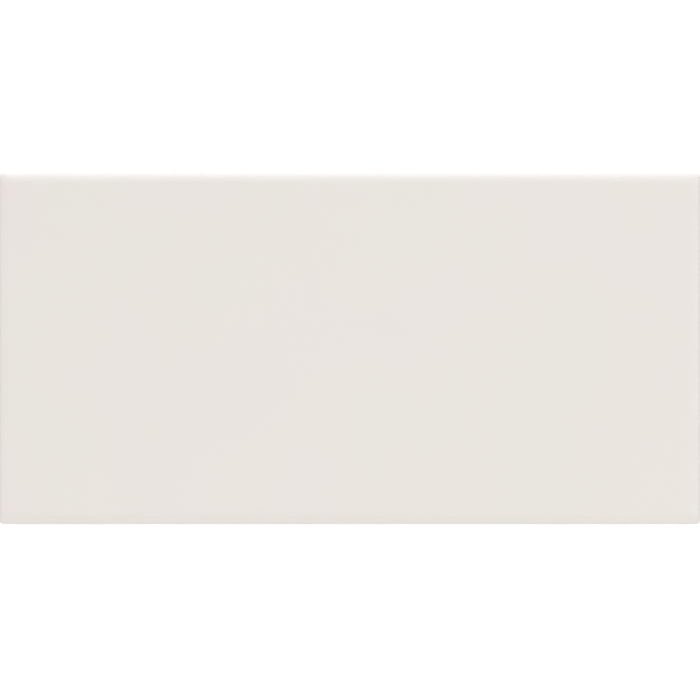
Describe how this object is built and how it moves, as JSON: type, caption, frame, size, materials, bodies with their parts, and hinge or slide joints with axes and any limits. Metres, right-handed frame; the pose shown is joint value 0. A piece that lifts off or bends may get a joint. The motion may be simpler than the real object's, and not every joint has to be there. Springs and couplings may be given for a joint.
{
  "type": "porcelain tile",
  "caption": "Rectangular off-white glazed porcelain tile with a soft rolled face edge and a keyed back of square pockets, bedded in adhesive to cover walls or floors.",
  "frame": {"origin": "centre of the back plane, under the middle of the glazed face", "axes": "+X along the length, +Y across the width, +Z out of the glazed face"},
  "size_m": [0.2, 0.1, 0.008],
  "materials": {
    "glazed_porcelain": "satin"
  },
  "bodies": {
    "root": {"porcelain_tile": "glazed_porcelain"}
  },
  "joints": []
}
